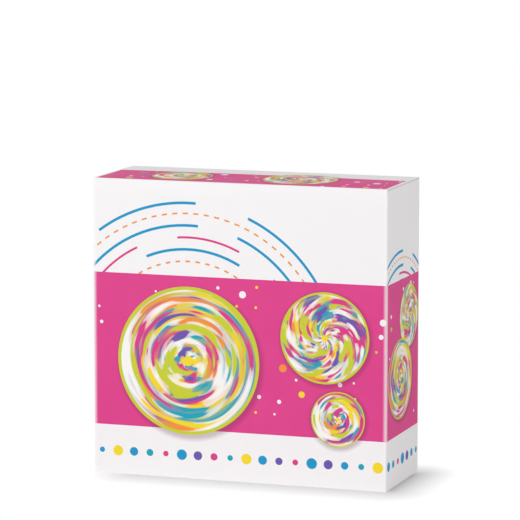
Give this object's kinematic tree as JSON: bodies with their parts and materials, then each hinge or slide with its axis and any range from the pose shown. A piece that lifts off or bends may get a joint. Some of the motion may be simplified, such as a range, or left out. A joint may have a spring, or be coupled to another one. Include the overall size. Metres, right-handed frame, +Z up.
{
  "type": "spin art kit",
  "caption": "Closed tuck-top folding carton with a hinged lid, tuck tongue and dust flaps, holding a card insert with a hand-spun spin art top, paper discs, paint wells and a brush",
  "frame": {"origin": "centre of the carton's base, on the surface it stands on", "axes": "+Z up, -Y out of the large front face, +X to the right as seen from the front; the carton is thinnest along Y"},
  "size_m": [0.222, 0.08, 0.216],
  "materials": {
    "printed_board": "offset printed white and magenta, satin varnish",
    "bare_board": "uncoated board",
    "insert_card": "uncoated white card",
    "lime_plastic": "moulded, glossy",
    "yellow_plastic": "moulded, glossy",
    "clear_plastic": "clear thermoformed sheet",
    "red_paint": "wet poster paint",
    "yellow_paint": "wet poster paint",
    "blue_paint": "wet poster paint",
    "purple_lacquer": "lacquered wood",
    "ferrule_metal": "bright, crimped",
    "bristle": "dark hair",
    "white_paper": "uncoated"
  },
  "bodies": {
    "carton": {"front_panel": "printed_board", "back_panel": "printed_board", "left_panel": "printed_board", "right_panel": "printed_board", "glue_flap": "bare_board", "base_outer_flap": "printed_board", "base_inner_flap": "bare_board", "base_dust_flap_left": "bare_board", "base_dust_flap_right": "bare_board", "insert_front_board": "insert_card", "insert_rear_board": "insert_card", "insert_cradle_board": "insert_card", "insert_base_board": "insert_card", "insert_deck": "insert_card", "spare_paper_discs": "white_paper", "leaflet": "white_paper", "paint_palette": "clear_plastic", "paint_red": "red_paint", "paint_yellow": "yellow_paint", "paint_blue": "blue_paint", "brush_handle": "purple_lacquer", "brush_ferrule": "ferrule_metal", "brush_bristles": "bristle"},
    "lid": {"lid_panel": "printed_board"},
    "tongue": {"tuck_tongue": "printed_board"},
    "left_flap": {"dust_flap_left": "printed_board"},
    "right_flap": {"dust_flap_right": "printed_board"},
    "spinning_top": {"spin_plate": "lime_plastic", "spin_peg": "yellow_plastic", "spin_tip": "yellow_plastic", "paper_disc": "white_paper"}
  },
  "joints": [
    {"name": "lid_crease", "type": "hinge", "parent": "carton", "child": "lid", "pos_m": [0, 0.0396, 0.2156], "axis": [-1, 0, 0], "range_deg": [0, 190]},
    {"name": "tongue_crease", "type": "hinge", "parent": "lid", "child": "tongue", "pos_m": [0, -0.0386, 0.2156], "axis": [-1, 0, 0], "range_deg": [0, 57]},
    {"name": "left_flap_crease", "type": "hinge", "parent": "carton", "child": "left_flap", "pos_m": [-0.1106, 0, 0.2147], "axis": [0, -1, 0], "range_deg": [0, 95]},
    {"name": "right_flap_crease", "type": "hinge", "parent": "carton", "child": "right_flap", "pos_m": [0.1106, 0, 0.2147], "axis": [0, 1, 0], "range_deg": [0, 95]},
    {"name": "top_spin", "type": "hinge", "parent": "carton", "child": "spinning_top", "pos_m": [0, -0.024, 0.082], "axis": [0, 1, 0], "continuous": true}
  ],
  "couplings": [
    {"joint": "tongue_crease", "follows": "lid_crease", "ratio": 0.3},
    {"joint": "left_flap_crease", "follows": "lid_crease", "ratio": 0.5},
    {"joint": "right_flap_crease", "follows": "lid_crease", "ratio": 0.5}
  ]
}
